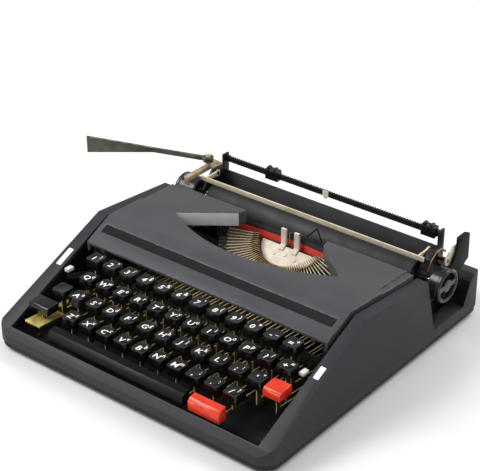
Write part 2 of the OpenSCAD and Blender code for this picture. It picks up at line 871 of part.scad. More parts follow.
// Walls that hang down along the slanting sides and the throat
module opening_walls() {
    t = cover_t;
    for (s = [0, 1]) mirror([s, 0, 0]) polygon([
        [opening_w / 2, opening_corner_y], [throat_w / 2, throat_y], [throat_w / 2 - 2, cover_rear_y],
        [throat_w / 2 - 2 + t, cover_rear_y], [throat_w / 2 + t, throat_y + 0.5 * t],
        [opening_w / 2 + 0.7 * t, opening_corner_y + 0.7 * t]
    ]);
}

// Hinged top cover with its stripe, finger grips, type opening and hinge lugs
module top_cover() {
    color("#646468") {
        difference() {
            union() {
                intersection() {
                    cover_layer(0, cover_t);
                    linear_extrude(200) cover_plan(0);
                }
                intersection() {
                    cover_layer(0, skirt_h);
                    linear_extrude(200) difference() {
                        cover_plan(0);
                        cover_plan(cover_t);
                    }
                }
            }
            linear_extrude(200) opening_plan();
            along_x(0, 2 * stripe_half) polygon([
                for (y = [stripe_front_y, stripe_rear_y]) [y, cover_top(y) - stripe_d],
                for (y = [stripe_rear_y, stripe_front_y]) [y, cover_top(y) + 2]
            ]);
            for (s = [-1, 1]) along_x(s * cover_rear_half, 2 * grip_w) polygon([
                for (y = [grip_front_y, cover_rear_y + 1]) [y, cover_top(y) - grip_d],
                for (y = [cover_rear_y + 1, grip_front_y]) [y, cover_top(y) + 2]
            ]);
        }
        intersection() {
            cover_layer(0, opening_wall_h);
            linear_extrude(200) opening_walls();
        }
        for (s = [-1, 1]) difference() {
            along_x(s * lug_x, lug_w) {
                translate([hinge_y, hinge_z]) circle(lug_r, $fn = fine);
                polygon([
                    [hinge_y - lug_r, hinge_z], [hinge_y + lug_r, hinge_z],
                    [hinge_y + lug_r, cover_top(hinge_y + lug_r) - cover_t],
                    [hinge_y - lug_r, cover_top(hinge_y - lug_r) - cover_t]
                ]);
            }
            rod_x(hinge_r + run_gap, -body_w, body_w, hinge_y, hinge_z);
        }
    }
}

// Key top with round corners and a dished face, its face at z = 0
module keytop() {
    corner = 1.3;
    bowl_r = (pow(key_w / 2, 2) + pow(dish_d, 2)) / (2 * dish_d);
    difference() {
        intersection() {
            translate([0, 0, -key_h]) cylinder(r1 = corner * key_w / 2 + 0.6, r2 = corner * key_w / 2 - 0.4,
                h = key_h, $fn = fine);
            translate([-key_w / 2, -key_w / 2, -key_h]) cube([key_w, key_w, key_h]);
        }
        translate([0, 0, bowl_r - dish_d]) sphere(bowl_r, $fn = 2 * fine);
    }
}

// Flat lever from the fulcrum rod to a key at y, with a stem up to top_z
module key_lever(x, y, top_z) {
    along_x(x, lever_t) difference() {
        union() {
            translate([fulcrum_y, fulcrum_z]) circle(boss_r, $fn = fine);
            polygon([
                [fulcrum_y, fulcrum_z - lever_h / 2], [fulcrum_y, fulcrum_z + lever_h / 2],
                [y - stem_w / 2, lever_mid(y) + lever_h / 2], [y - stem_w / 2, lever_mid(y) - lever_h / 2]
            ]);
            translate([y - stem_w / 2, lever_mid(y)]) square([stem_w, top_z - lever_mid(y)]);
        }
        translate([fulcrum_y, fulcrum_z]) circle(fulcrum_r + run_gap, $fn = fine);
    }
}

// Key tops of one row, without the single key that is a piece of its own
module keytops_row(row) {
    color("#161617") for (i = [0:row_keys[row] - 1])
        if (row != type_row || i != type_index)
            translate([key_x(row, i), row_y(row), row_z(row)]) keytop();
}

// Levers of one row
module levers_row(row) {
    color("#a08a4c") for (i = [0:row_keys[row] - 1])
        if (row != type_row || i != type_index)
            key_lever(key_x(row, i), row_y(row), row_z(row) - key_h);
}

// Single key with its own lever, which works the struck typebar
module type_key() {
    x = key_x(type_row, type_index);
    color("#161617") translate([x, row_y(type_row), row_z(type_row)]) keytop();
    color("#a08a4c") key_lever(x, row_y(type_row), row_z(type_row) - key_h);
}

// Wide cap in the front row with a sloping face
module front_cap(x1, x2) {
    along_x((x1 + x2) / 2, x2 - x1) polygon([
        [cap_front_y, cap_z - 11], [cap_front_y, cap_z - 2.5], [cap_front_y + 2.5, cap_z],
        [cap_rear_y, cap_z + 1.2], [cap_rear_y, cap_z - 11]
    ]);
}

// Lever that runs low under the front row and ends flat against the back of a front cap
module cap_arm(x) {
    along_x(x, lever_t) difference() {
        union() {
            translate([fulcrum_y, fulcrum_z]) circle(boss_r, $fn = fine);
            polygon([
                [fulcrum_y, fulcrum_z - lever_h / 2], [fulcrum_y, fulcrum_z + lever_h / 2],
                [arm_stem_y, arm_z + arm_half], [arm_stem_y, arm_top_z],
                [cap_rear_y, arm_top_z], [cap_rear_y, arm_z - arm_half]
            ]);
        }
        translate([fulcrum_y, fulcrum_z]) circle(fulcrum_r + run_gap, $fn = fine);
    }
}

// Space bar on two arms
module space_bar() {
    color("#161617") front_cap(space_left_x, space_left_x + space_w);
    color("#a08a4c") for (x = space_arm_x) cap_arm(x);
}

// Wide red key beside the space bar
module red_key_front() {
    color("#e63c1e") front_cap(front_key_x - front_key_w / 2, front_key_x + front_key_w / 2);
    color("#a08a4c") cap_arm(front_key_arm_x);
}

// Block-shaped cap with its face sloping to the typist
module block_cap(x, y, z, w, d, h) {
    along_x(x, w) polygon([
        [y - d / 2, z - h], [y - d / 2, z - 3], [y - d / 2 + 1.5, z - 1.2],
        [y + d / 2 - 1, z], [y + d / 2, z - 1], [y + d / 2, z - h]
    ]);
}

// Shift key with its broad brass lever
module shift_key() {
    y = row_y(3);
    z = row_z(3) + 1;
    plate_left = shift_x - 6.6;
    plate_rear = y + 60;
    tread_right = shift_x + 10.9;
    tread_front = y - 16.5;
    tread_rear = y + 13.4;
    color("#161617") block_cap(shift_x, y, z, shift_w, shift_d, key_h);
    color("#a08a4c") {
        key_lever(shift_x, y, z - key_h);
        intersection() {
            linear_extrude(row_1_z) polygon([
                [plate_left, tread_front], [tread_right, tread_front], [tread_right, tread_rear],
                [shift_x, tread_rear], [shift_x, plate_rear], [plate_left, plate_rear]
            ]);
            along_x(shift_x, 2 * shift_w) polygon([
                [tread_front - 1, lever_mid(tread_front - 1) - 1],
                [tread_front - 1, lever_mid(tread_front - 1) + 1],
                [plate_rear + 1, lever_mid(plate_rear + 1) + 1],
                [plate_rear + 1, lever_mid(plate_rear + 1) - 1]
            ]);
        }
    }
}

// Shift lock key with its lever
module shift_lock() {
    y = row_y(2);
    color("#161617") translate([lock_x, y, row_z(2)]) keytop();
    color("#a08a4c") key_lever(lock_x, y, row_z(2) - key_h);
}

// Red key at the right end of the third row
module red_key_right() {
    y = row_y(2);
    z = row_z(2) + 1;
    cap_h = 9;
    color("#e63c1e") block_cap(right_key_x, y - 1.2, z, right_key_w, right_key_d, cap_h);
    color("#a08a4c") key_lever(right_key_x, y, z - cap_h);
}

// Small lever beside the keyboard with a pale cap
module selector(s) {
    t = 1.5;
    x = s * (frame_out + 0.8 + t / 2);
    tip_y = row_1_y - 13.1;
    tip_z = row_1_z - 12.5;
    color("#8d8e92") difference() {
        along_x(x, t) {
            translate([selector_y, selector_z]) circle(4, $fn = fine);
            polygon([
                [selector_y, selector_z - 3], [selector_y, selector_z + 3],
                [tip_y + 2.5, tip_z - 6], [tip_y + 2.5, tip_z - 1.5], [tip_y - 2.5, tip_z - 1.5],
                [tip_y - 2.5, tip_z - 9]
            ]);
        }
        rod_x(selector_pin_r + run_gap, -body_w, body_w, selector_y, selector_z);
    }
    color("#e8e6e0") translate([x, tip_y, tip_z]) cube([4.5, 7, 3], center = true);
}

module selector_left() {
    selector(-1);
}

module selector_right() {
    selector(1);
}

// Sliding bed of the carriage with the escapement rack under it
module carriage_bed() {
    bed_front = rail_in_y - groove_d + clear_gap;
    bed_rear = rail_in_rear_y + groove_d - clear_gap;
    root_z = bed_z;
    color("#6a6b6f") on_carriage() {
        translate([-end_out, bed_front, bed_z]) cube([2 * end_out, bed_rear - bed_front, bed_t]);
        along_y(pinion_y - 0.5, pinion_w + 1) for (x = [-rack_half:rack_pitch:rack_half])
            polygon([
                [x - 0.45, root_z], [x - 0.2, root_z - 1.3 - tooth_h],
                [x + 0.2, root_z - 1.3 - tooth_h], [x + 0.45, root_z]
            ]);
    }
}

// Top edge of an end plate, from its rear arm to its front: straight at the left, arched at the right
left_edge = [
    [end_back_y, end_top_z], [end_back_y - 13, end_top_z], [end_front_y, platen_z + 11.7]
];
right_edge = [
    [end_back_y + 2, pan_back_z], [end_back_y - 5, bail_z + 3], [end_back_y - 13, bail_z + 3],
    [end_back_y - 20, bail_z - 1.5], [end_front_y + 2, platen_z + 11.7]
];

// Two end plates that carry the platen, bail, margin rail and release levers; the right one has a flange
module carriage_ends() {
    color("#3a3b3e") on_carriage() {
        along_x(end_out + flange_w / 2, flange_w) polygon(strip(right_edge, end_t));
        for (s = [-1, 1]) {
            difference() {
                along_x(s * (end_in + end_t / 2), end_t) polygon(concat(
                    [[rail_in_y + end_foot_gap, bed_top_z], [rail_in_rear_y - end_foot_gap, bed_top_z],
                        [rail_in_rear_y - end_foot_gap, rail_top_z + end_foot_gap], [end_rear_y, 50],
                        [rail_y + 4, rail_mid_z + 4], [rail_y - 4, rail_mid_z + 4], [rail_y - 4, pan_back_z]],
                    s > 0 ? right_edge : left_edge,
                    [[end_front_y, 44], [rail_in_y + end_foot_gap, rail_top_z + end_foot_gap]]));
                rod_x(shaft_r + run_gap, -body_w, body_w, platen_y, platen_z);
                for (f = [-1, 1])
                    rod_x(feed_rod_r + run_gap, -body_w, body_w, platen_y + f * feed_half_gap, feed_z);
            }
            rod_x(pin_r, s > 0 ? bail_arm_x - 0.6 : -end_in, s > 0 ? end_in : 0.6 - bail_arm_x,
                bail_pivot_y, bail_z);
        }
        rod_x(pin_r, end_out, release_x + release_t + 0.6, release_y, release_z);
        rod_x(pin_r, end_out, clutch_x + clutch_t + 0.6, clutch_y, clutch_z);
    }
}

// Curved sheet that guides the paper round the platen and up behind it
module paper_pan() {
    start_a = 225;
    end_a = 345;
    out = pan_in + pan_t;
    foot = [platen_y + pan_in * cos(end_a), platen_z + pan_in * sin(end_a)];
    window = feed_len + 2;
    color("#2f3033") on_carriage() difference() {
        along_x(0, 2 * end_in) {
            translate([platen_y, platen_z]) intersection() {
                difference() {
                    circle(out, $fn = 2 * fine);
                    circle(pan_in, $fn = 2 * fine);
                }
                polygon([[0, 0], 3 * out * [cos(start_a), sin(start_a)], 3 * out * [cos(285), sin(285)],
                    3 * out * [cos(end_a), sin(end_a)]]);
            }
            polygon([foot, foot + pan_t * [cos(end_a), sin(end_a)], [pan_back_y + pan_t, pan_back_z],
                [pan_back_y, pan_back_z]]);
        }
        for (i = [-1, 0, 1], f = [-1, 1])
            translate([i * feed_pitch - window / 2,
                platen_y + f * feed_half_gap - feed_r - 1, feed_z - feed_r])
                cube([window, 2 * feed_r + 2, 2 * feed_r + 2]);
    }
}

// Notched rail that the margin stops slide on, with the pointer at its middle
module margin_rail() {
    teeth = floor((2 * end_in - 12) / tooth_pitch / 2);
    mark_x = -2;
    mark_t = 0.8;
    color("#1f2023") on_carriage() {
        along_y(rail_y - rail_t / 2, rail_t) polygon(concat(
            [[-end_in, rail_mid_z - rail_h / 2], [end_in, rail_mid_z - rail_h / 2],
                [end_in, rail_mid_z + rail_h / 2]],
            [for (i = [teeth:-1:-teeth], k = [0:3])
                [(i + [0.45, 0.25, -0.25, -0.45][k]) * tooth_pitch,
                    rail_mid_z + rail_h / 2 - [0, 1, 1, 0][k]]],
            [[-end_in, rail_mid_z + rail_h / 2]]));
        along_y(rail_y - rail_t / 2 - mark_t, mark_t) translate([mark_x, rail_mid_z]) polygon([
            [-3, 2.5], [3, 2.5], [3, -2.5], [1, -5], [-1, -5], [-3, -2.5]
        ]);
    }
}

// Margin stop: a block round the rail with a finger tab
module margin_stop(x) {
    stop_half = rail_h / 2 + 2;
    color("#141415") on_carriage() translate([x, rail_y, rail_mid_z]) {
        difference() {
            translate([-stop_w / 2, -3.5, -stop_half]) cube([stop_w, 7, 2 * stop_half]);
            translate([-stop_w, -rail_t / 2 - clear_gap, -rail_h / 2 - clear_gap])
                cube([2 * stop_w, rail_t + 2 * clear_gap, rail_h + 2 * clear_gap]);
        }
        translate([-stop_w / 2 + 2, -3.5, stop_half]) cube([3, 5, 2.5]);
        translate([stop_w / 2 - 5, -3.5, stop_half]) cube([3, 5, 2.5]);
    }
}

module margin_stop_left() {
    margin_stop(stop_left_x);
}

module margin_stop_right() {
    margin_stop(stop_right_x);
}

// Rubber-covered roller
module platen() {
    half = platen_len / 2;
    color("#2a2a2c") on_carriage() difference() {
        rod_x(platen_r, -half, half, platen_y, platen_z);
        rod_x(shaft_r + run_gap, -half - 1, half + 1, platen_y, platen_z);
        for (s = [-1, 1])
            rod_x(platen_r - 3, s * half - 1, s * half + 1, platen_y, platen_z);
    }
}

// Steel shaft through platen and knobs
module platen_shaft() {
    color("#b9babd") on_carriage() rod_x(shaft_r, 3 - left_knob_out, knob_out - 3, platen_y, platen_z);
}

// Half round the knob's rim, revolved, with two finger pockets in its face
module platen_knob(w) {
    rim = 1.5;
    pocket_d = 5;
    difference() {
        rotate_extrude($fn = 2 * fine) polygon([
            [shaft_r + run_gap, 0], [knob_r - 2, 0], [knob_r - 0.6, 1.2], [knob_r - 0.6, w - 4],
            [knob_r, w - 3.5], [knob_r, w - 1], [knob_r - 1, w],
            [0, w], [0, w - 3], [shaft_r + run_gap, w - 3]
        ]);
        translate([0, 0, w - 0.8]) cylinder(r = knob_r - rim - 0.7, h = 2, $fn = 2 * fine);
        for (s = [-1, 1]) intersection() {
            translate([0, 0, w - pocket_d]) difference() {
                cylinder(r = knob_r - rim - 1.5, h = pocket_d + 1, $fn = 2 * fine);
                cylinder(r = shaft_r + 1.5, h = pocket_d + 1, $fn = fine);
            }
            translate([s > 0 ? 2.2 : -knob_r - 2.2, -knob_r, 0]) cube([knob_r, 2 * knob_r, w + 1]);
        }
    }
}

// The two turning knobs
module platen_knobs() {
    color("#26272a") on_carriage() for (s = [0, 1]) mirror([s, 0, 0])
        translate([knob_in, platen_y, platen_z]) rotate([0, 90, 0]) platen_knob(s > 0 ? left_knob_w : knob_w);
}

// Ratchet wheel of the line spacing, at the platen's left end
module line_ratchet() {
    color("#b5985a") on_carriage()
        along_x(-platen_len / 2 - 0.5 - ratchet_w / 2, ratchet_w)
            translate([platen_y, platen_z]) difference() {
                toothed_disc(ratchet_teeth, ratchet_r - 1.6, ratchet_r, 5);
                circle(shaft_r + run_gap, $fn = fine);
            }
}

// Rod with three rubber rollers that presses the paper on the platen
module feed_roller(f) {
    y = platen_y + f * feed_half_gap;
    color("#3c3530") on_carriage() {
        rod_x(feed_rod_r, -end_in - 1, end_in + 1, y, feed_z);
        for (i = [-1, 0, 1])
            rod_x(feed_r, i * feed_pitch - feed_len / 2, i * feed_pitch + feed_len / 2, y, feed_z);
    }
}

module feed_roller_front() {
    feed_roller(-1);
}

module feed_roller_rear() {
    feed_roller(1);
}

// Bright bar over the platen on two arms
module paper_bail() {
    color("#dcd8cc") on_carriage() {
        translate([-bail_half, bail_y - bail_t / 2, bail_z - bail_h / 2])
            cube([2 * bail_half, bail_t, bail_h]);
        for (s = [-1, 1]) difference() {
            along_x(s * (bail_arm_x + bail_arm_t / 2), bail_arm_t) {
                translate([bail_y, bail_z - bail_h / 2]) square([bail_pivot_y - bail_y, bail_h]);
                translate([bail_pivot_y, bail_z]) circle(bail_h / 2 + 1, $fn = fine);
            }
            rod_x(pin_r + run_gap, -body_w, body_w, bail_pivot_y, bail_z);
        }
    }
}

// Bar on the left end plate with a front hook and the return lever's pivot pin
module lever_bracket() {
    front = platen_y - 25.5;
    rear = end_back_y + 1;
    foot_front = end_back_y - 13;
    bar_x = -bail_half - 0.7 - bracket_w;
    foot_t = 1.5;
    color("#c9c3b4") on_carriage() {
        translate([bar_x, front, bracket_z]) cube([bracket_w, rear - front, bracket_h]);
        translate([bar_x, front, bracket_z - 4]) cube([bracket_w, 1.2, 4]);
        translate([bar_x, foot_front, end_top_z])
            cube([-end_in - bar_x, rear - foot_front - 1.5, foot_t]);
        translate([lever_pivot_x, lever_pivot_y, bracket_z + bracket_h - 0.5])
            cylinder(r = lever_pin_r, h = lever_z + arm_h / 2 + 2 - bracket_z - bracket_h, $fn = fine);
    }
}

// Carriage return lever: boss, thin arm and upright paddle
module return_lever() {
    pivot = [lever_pivot_x, lever_pivot_y];
    half_arm = arm_h / 2;
    half_paddle = paddle_h / 2;
    color("#47484c") on_carriage() difference() {
        union() {
            translate([pivot[0], pivot[1], lever_z - half_arm])
                cylinder(r = lever_pin_r + 2.5, h = arm_h, $fn = fine);
            intersection() {
                linear_extrude(2 * lever_z)
                    polygon(strip([pivot, [twist_x, twist_y], [tip_x, tip_y]], arm_t));
                along_y(0, 2 * lever_pivot_y) polygon([
                    [pivot[0] + 1, lever_z - half_arm], [pivot[0] + 1, lever_z + half_arm],
                    [twist_x, lever_z + half_arm], [tip_x - 5, lever_z + half_paddle],
                    [tip_x - 5, lever_z - half_paddle], [twist_x, lever_z - half_arm]
                ]);
            }
        }
        translate([pivot[0], pivot[1], 0]) cylinder(r = lever_pin_r + run_gap, h = 2 * lever_z, $fn = fine);
    }
}

// Pale tab that lifts the feed rollers
module paper_release() {
    color("#d8d2c4") on_carriage() difference() {
        along_x(release_x + release_t / 2, release_t) {
            translate([release_y, release_z]) circle(4.5, $fn = fine);
            polygon([
                [release_y, release_z - 4.5], [release_y + 10, release_z - 4],
                [release_y + 16, release_z - 1], [release_y + 18, release_z + 5],
                [release_y + 14, release_z + 10], [release_y + 6, release_z + 11],
                [release_y, release_z + 4.5]
            ]);
        }
        rod_x(pin_r + run_gap, -body_w, body_w, release_y, release_z);
    }
}

// Black lever that frees the carriage from its escapement
module carriage_release() {
    color("#1b1c1e") on_carriage() difference() {
        along_x(clutch_x + clutch_t / 2, clutch_t) {
            translate([clutch_y, clutch_z]) circle(4, $fn = fine);
            polygon([
                [clutch_y, clutch_z - 4], [clutch_y + 14, clutch_z - 6], [clutch_y + 26, clutch_z],
                [clutch_y + 26, clutch_z + 24], [clutch_y + 20, clutch_z + 27], [clutch_y + 8, clutch_z + 27],
                [clutch_y + 7, clutch_z + 14], [clutch_y, clutch_z + 4]
            ]);
        }
        rod_x(pin_r + run_gap, -body_w, body_w, clutch_y, clutch_z);
    }
}

body_shell();
base_tray();
rubber_feet();
base_screws();
frame_plates();
cross_beam();
lever_comb();
fulcrum_rod();
typebar_segment();
segment_face();
type_guide();
typebar_rest();
typebars();
typebar_struck();
ribbon_vibrator();
ribbon();
spool_left();
spool_right();
spool_cups();
ribbon_guides();
carriage_rails();
escapement_bracket();
escapement_wheel();
mainspring_drum();
bell();
cover_hinge_rod();
top_cover();
keytops_row(0);  // keytops_row_1
keytops_row(1);  // keytops_row_2
keytops_row(2);  // keytops_row_3
keytops_row(3);  // keytops_row_4
levers_row(0);  // levers_row_1
levers_row(1);  // levers_row_2
levers_row(2);  // levers_row_3
levers_row(3);  // levers_row_4
type_key();
space_bar();
shift_key();
shift_lock();
red_key_right();
red_key_front();
selector_left();
selector_right();
carriage_bed();
carriage_ends();
paper_pan();
margin_rail();
margin_stop_left();
margin_stop_right();
platen();
platen_shaft();
platen_knobs();
line_ratchet();
feed_roller_front();
feed_roller_rear();
paper_bail();
lever_bracket();
return_lever();
paper_release();
carriage_release();
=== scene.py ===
import math

import bmesh
import bpy
from mathutils import Matrix, Vector


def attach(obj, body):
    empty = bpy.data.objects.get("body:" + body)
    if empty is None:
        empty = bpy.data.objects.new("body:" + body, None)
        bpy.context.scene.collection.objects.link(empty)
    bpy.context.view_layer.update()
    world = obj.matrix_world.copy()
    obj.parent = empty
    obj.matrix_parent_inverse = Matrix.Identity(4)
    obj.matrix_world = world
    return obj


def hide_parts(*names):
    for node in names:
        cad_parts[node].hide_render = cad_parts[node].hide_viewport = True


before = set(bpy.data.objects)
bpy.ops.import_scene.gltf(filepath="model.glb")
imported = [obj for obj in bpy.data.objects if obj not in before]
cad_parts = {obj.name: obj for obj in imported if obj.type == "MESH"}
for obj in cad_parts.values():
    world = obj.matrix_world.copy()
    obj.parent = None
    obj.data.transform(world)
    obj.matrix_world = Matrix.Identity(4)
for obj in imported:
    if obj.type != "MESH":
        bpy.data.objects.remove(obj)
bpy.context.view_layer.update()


# Base tray with rubber feet and screws.
# The tray is one pressed steel sheet, sprayed dark, that closes the underside of the shell.
# Each foot is moulded rubber with a sunk screw through the sheet.
MM = 0.001
# Sockets of a colour mix node, by number, because its other kinds carry the same names.
MIX_SHARE, MIX_FIRST, MIX_SECOND, MIX_RESULT = 0, 6, 7, 2


def tone(red, green, blue):
    """A colour read from a picture, as the linear value that a shader takes."""
    return tuple(((c / 255 + 0.055) / 1.055) ** 2.4 if c > 10 else c / 255 / 12.92
                 for c in (red, green, blue)) + (1.0,)


def finish(name, colour, aged, metal, rough, patch, grain, depth, wear_and_highlight=None, coat=0.0, shine=0.25):
    """A surface of one stuff: patches of an aged tone, a fine grain and, on rounded edges, a second tone
    that is wear and on some finishes also a painted highlight.
    patch, grain and depth are sizes in millimetres."""
    made = bpy.data.materials.new(name)
    made.use_nodes = True
    nodes = made.node_tree.nodes
    link = made.node_tree.links.new
    shader = nodes["Principled BSDF"]
    shader.inputs["Metallic"].default_value = metal
    shader.inputs["Specular IOR Level"].default_value = shine
    shader.inputs["Coat Weight"].default_value = coat
    shader.inputs["Coat Roughness"].default_value = 0.15
    place = nodes.new("ShaderNodeTexCoord")
    cloud = nodes.new("ShaderNodeTexNoise")
    cloud.inputs["Scale"].default_value = 1000 / patch
    cloud.inputs["Detail"].default_value = 5.0
    link(place.outputs["Object"], cloud.inputs["Vector"])
    spread = nodes.new("ShaderNodeMapRange")
    spread.inputs["From Min"].default_value = 0.36
    spread.inputs["From Max"].default_value = 0.66
    link(cloud.outputs["Fac"], spread.inputs["Value"])
    tint = nodes.new("ShaderNodeMix")
    tint.data_type = "RGBA"
    tint.inputs[MIX_FIRST].default_value = tone(*colour)
    tint.inputs[MIX_SECOND].default_value = tone(*aged)
    link(spread.outputs["Result"], tint.inputs[MIX_SHARE])
    shown = tint.outputs[MIX_RESULT]
    # On rounded edges a second tone shows in patches; it stands for wear, and on the shell and the brass
    # levers also for a painted highlight.
    if wear_and_highlight:
        edge = nodes.new("ShaderNodeAttribute")
        edge.attribute_name = "edge"
        rub = nodes.new("ShaderNodeTexNoise")
        rub.inputs["Scale"].default_value = 160.0
        rub.inputs["Detail"].default_value = 4.0
        link(place.outputs["Object"], rub.inputs["Vector"])
        bare = nodes.new("ShaderNodeMapRange")
        bare.inputs["From Min"].default_value = 0.42
        bare.inputs["From Max"].default_value = 0.62
        link(rub.outputs["Fac"], bare.inputs["Value"])
        both = nodes.new("ShaderNodeMath")
        both.operation = "MULTIPLY"
        link(edge.outputs["Fac"], both.inputs[0])
        link(bare.outputs["Result"], both.inputs[1])
        wear_and_highlight_mix = nodes.new("ShaderNodeMix")
        wear_and_highlight_mix.data_type = "RGBA"
        wear_and_highlight_mix.inputs[MIX_SECOND].default_value = tone(*wear_and_highlight)
        link(both.outputs["Value"], wear_and_highlight_mix.inputs[MIX_SHARE])
        link(shown, wear_and_highlight_mix.inputs[MIX_FIRST])
        shown = wear_and_highlight_mix.outputs[MIX_RESULT]
    link(shown, shader.inputs["Base Color"])
    gloss = nodes.new("ShaderNodeMapRange")
    gloss.inputs["From Min"].default_value = 0.3
    gloss.inputs["From Max"].default_value = 0.7
    gloss.inputs["To Min"].default_value = max(0.05, rough - 0.08)
    gloss.inputs["To Max"].default_value = min(1.0, rough + 0.08)
    link(cloud.outputs["Fac"], gloss.inputs["Value"])
    link(gloss.outputs["Result"], shader.inputs["Roughness"])
    grit = nodes.new("ShaderNodeTexNoise")
    grit.inputs["Scale"].default_value = 1000 / grain
    grit.inputs["Detail"].default_value = 3.0
    link(place.outputs["Object"], grit.inputs["Vector"])
    bump = nodes.new("ShaderNodeBump")
    bump.inputs["Distance"].default_value = depth * MM
    link(grit.outputs["Fac"], bump.inputs["Height"])
    link(bump.outputs["Normal"], shader.inputs["Normal"])
    return made


def new_piece(name, shape, *finishes):
    """An object from a bmesh, smooth except at its sharp edges."""
    mesh = bpy.data.meshes.new(name)
    shape.to_mesh(mesh)
    shape.free()
    if "custom_normal" in mesh.attributes:
        mesh.attributes.remove(mesh.attributes["custom_normal"])
    mesh.shade_smooth()
    crease = math.radians(32)
    mesh.set_sharp_from_angle(angle=crease)
    for made in finishes:
        mesh.materials.append(made)
    piece = bpy.data.objects.new(name, mesh)
    bpy.context.scene.collection.objects.link(piece)
    return piece


def rounded(node, name, width, *finishes, steps=2, sharp=28.0):
    """The solid of a node with its sharp edges rounded; width is in millimetres."""
    shape = bmesh.new()
    shape.from_mesh(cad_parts[node].data)
    for layer in list(shape.loops.layers.uv.values()):
        shape.loops.layers.uv.remove(layer)
    edge = shape.faces.layers.float.new("edge")
    weld = 0.002 * MM
    nearly_flat = math.radians(0.4)
    bmesh.ops.remove_doubles(shape, verts=shape.verts, dist=weld)
    bmesh.ops.dissolve_limit(shape, angle_limit=nearly_flat, verts=shape.verts, edges=shape.edges)
    corners = [e for e in shape.edges if e.is_manifold and e.calc_face_angle() > math.radians(sharp)]
    cut = bmesh.ops.bevel(shape, geom=corners, offset=width * MM, offset_type="OFFSET", affect="EDGES",
                          segments=steps, profile=0.5, material=-1, clamp_overlap=True)
    for face in shape.faces:
        face.material_index = 0
    for face in cut["faces"]:
        face[edge] = 1.0
    return new_piece(name, shape, *finishes)


def clad(node, made):
    """A CAD node that keeps its shape takes a finish."""
    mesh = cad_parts[node].data
    if not mesh.materials:
        mesh.materials.append(made)
    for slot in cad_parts[node].material_slots:
        slot.material = made


tray_steel = finish("tray_steel", (33, 34, 37), (44, 44, 46), 0.3, 0.55, 30, 0.6, 0.02, (110, 108, 104))
tray = rounded("base_tray", "tray_sheet", 0.5, tray_steel)
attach(tray, "base")
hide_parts("base_tray")

foot_rubber = finish("foot_rubber", (24, 24, 26), (36, 36, 38), 0.0, 0.8, 8, 0.4, 0.03)
feet = rounded("rubber_feet", "moulded_feet", 0.6, foot_rubber, steps=3)
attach(feet, "base")
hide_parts("rubber_feet")

screw_steel = finish("screw_steel", (154, 155, 158), (120, 118, 114), 1.0, 0.35, 5, 0.3, 0.01)
clad("base_screws", screw_steel)


# Body shell with its two bare label strips.
# It is one moulding in charcoal plastic with a fine leather grain and softly rounded rails.
# The carriage's two notches and the slope behind them are moulded smooth and painted darker as shade.
# The strips are thin pale film, stuck on the rails beside the number keys.
# Its rounded edges take a lighter tone: partly rubbed wear, partly a painted highlight along the rims.
shell_plastic = finish("shell_plastic", (42, 42, 47), (48, 48, 53), 0.0, 0.5, 40, 0.9, 0.07, (80, 80, 86))
notch_painted_shade = finish("notch_painted_shade", (20, 20, 23), (26, 26, 29), 0.0, 0.34, 30, 0.6, 0.015)


def paint(piece, number, chosen):
    """Gives the faces whose middle is chosen another of the piece's finishes."""
    for face in piece.data.polygons:
        if chosen(face.center / MM):
            face.material_index = number


notch_y, sill_low, sill_high = 72.0, 17.0, 18.6
slope_y, slope_z, slope_lean, slope_skin = 121.5, 20.4, 0.575, 0.6


def in_notch(p):
    """The sills of the notches and the sloped wall that rises behind them, where shade is painted."""
    sill = p.y > notch_y and sill_low < p.z < sill_high
    slope = p.z > sill_low and abs(p.y - slope_y - slope_lean * (p.z - slope_z)) < slope_skin
    return sill or slope


shell = rounded("body_shell", "shell_moulding", 1.4, shell_plastic, notch_painted_shade, steps=3)
# The notch sills and the sloped wall behind them are painted dark as shade in the recess.
paint(shell, 1, in_notch)
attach(shell, "base")
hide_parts("body_shell")

label_film = finish("label_film", (238, 238, 236), (226, 224, 218), 0.0, 0.45, 6, 0.5, 0.01)
label_w, label_t, label_corner = 5.2, 0.4, 0.8
label_x = 137.0
rail_front_y, rail_front_z = -145.0, 22.0
rail_bend_y, rail_bend_z = -23.4, 76.0
rail_slope = math.atan2(rail_bend_z - rail_front_z, rail_bend_y - rail_front_y)
for side, word, strip_len, middle_y in ((-1, "left", 19, -72.5), (1, "right", 12, -76.5)):
    strip = bmesh.new()
    bmesh.ops.create_cube(strip, size=1.0)
    bmesh.ops.scale(strip, vec=(label_w * MM, strip_len * MM, label_t * MM), verts=strip.verts)
    upright = [e for e in strip.edges if abs(e.verts[0].co.z - e.verts[1].co.z) > label_t / 4 * MM]
    bmesh.ops.bevel(strip, geom=upright, offset=label_corner * MM, offset_type="OFFSET", affect="EDGES",
                    segments=3, profile=0.5, material=-1)
    bmesh.ops.rotate(strip, matrix=Matrix.Rotation(rail_slope, 3, "X"), verts=strip.verts)
    middle_z = rail_front_z + (middle_y - rail_front_y) * math.tan(rail_slope) + label_t / 2
    bmesh.ops.translate(strip, vec=(side * label_x * MM, middle_y * MM, middle_z * MM), verts=strip.verts)
    label = new_piece("label_strip_" + word, strip, label_film)
    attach(label, "base")


# Inner frame: side plates, beam, comb and rods.
# The plates are pressed from steel and plated, the beam is cast, the comb is stamped.
# Bright drawn rods through the plates carry the key levers and the cover.
plated_steel = finish("plated_steel", (104, 104, 106), (82, 80, 76), 0.9, 0.42, 18, 0.5, 0.01)
cast_iron = finish("cast_iron", (66, 66, 70), (52, 52, 54), 0.4, 0.6, 10, 0.8, 0.05)
drawn_steel = finish("drawn_steel", (196, 196, 194), (164, 160, 150), 1.0, 0.25, 7, 0.3, 0.004)
comb_steel = finish("comb_steel", (96, 95, 90), (70, 68, 62), 0.9, 0.45, 9, 0.4, 0.01)
clad("frame_plates", plated_steel)
clad("cross_beam", cast_iron)
clad("lever_comb", comb_steel)
clad("fulcrum_rod", drawn_steel)
clad("cover_hinge_rod", drawn_steel)


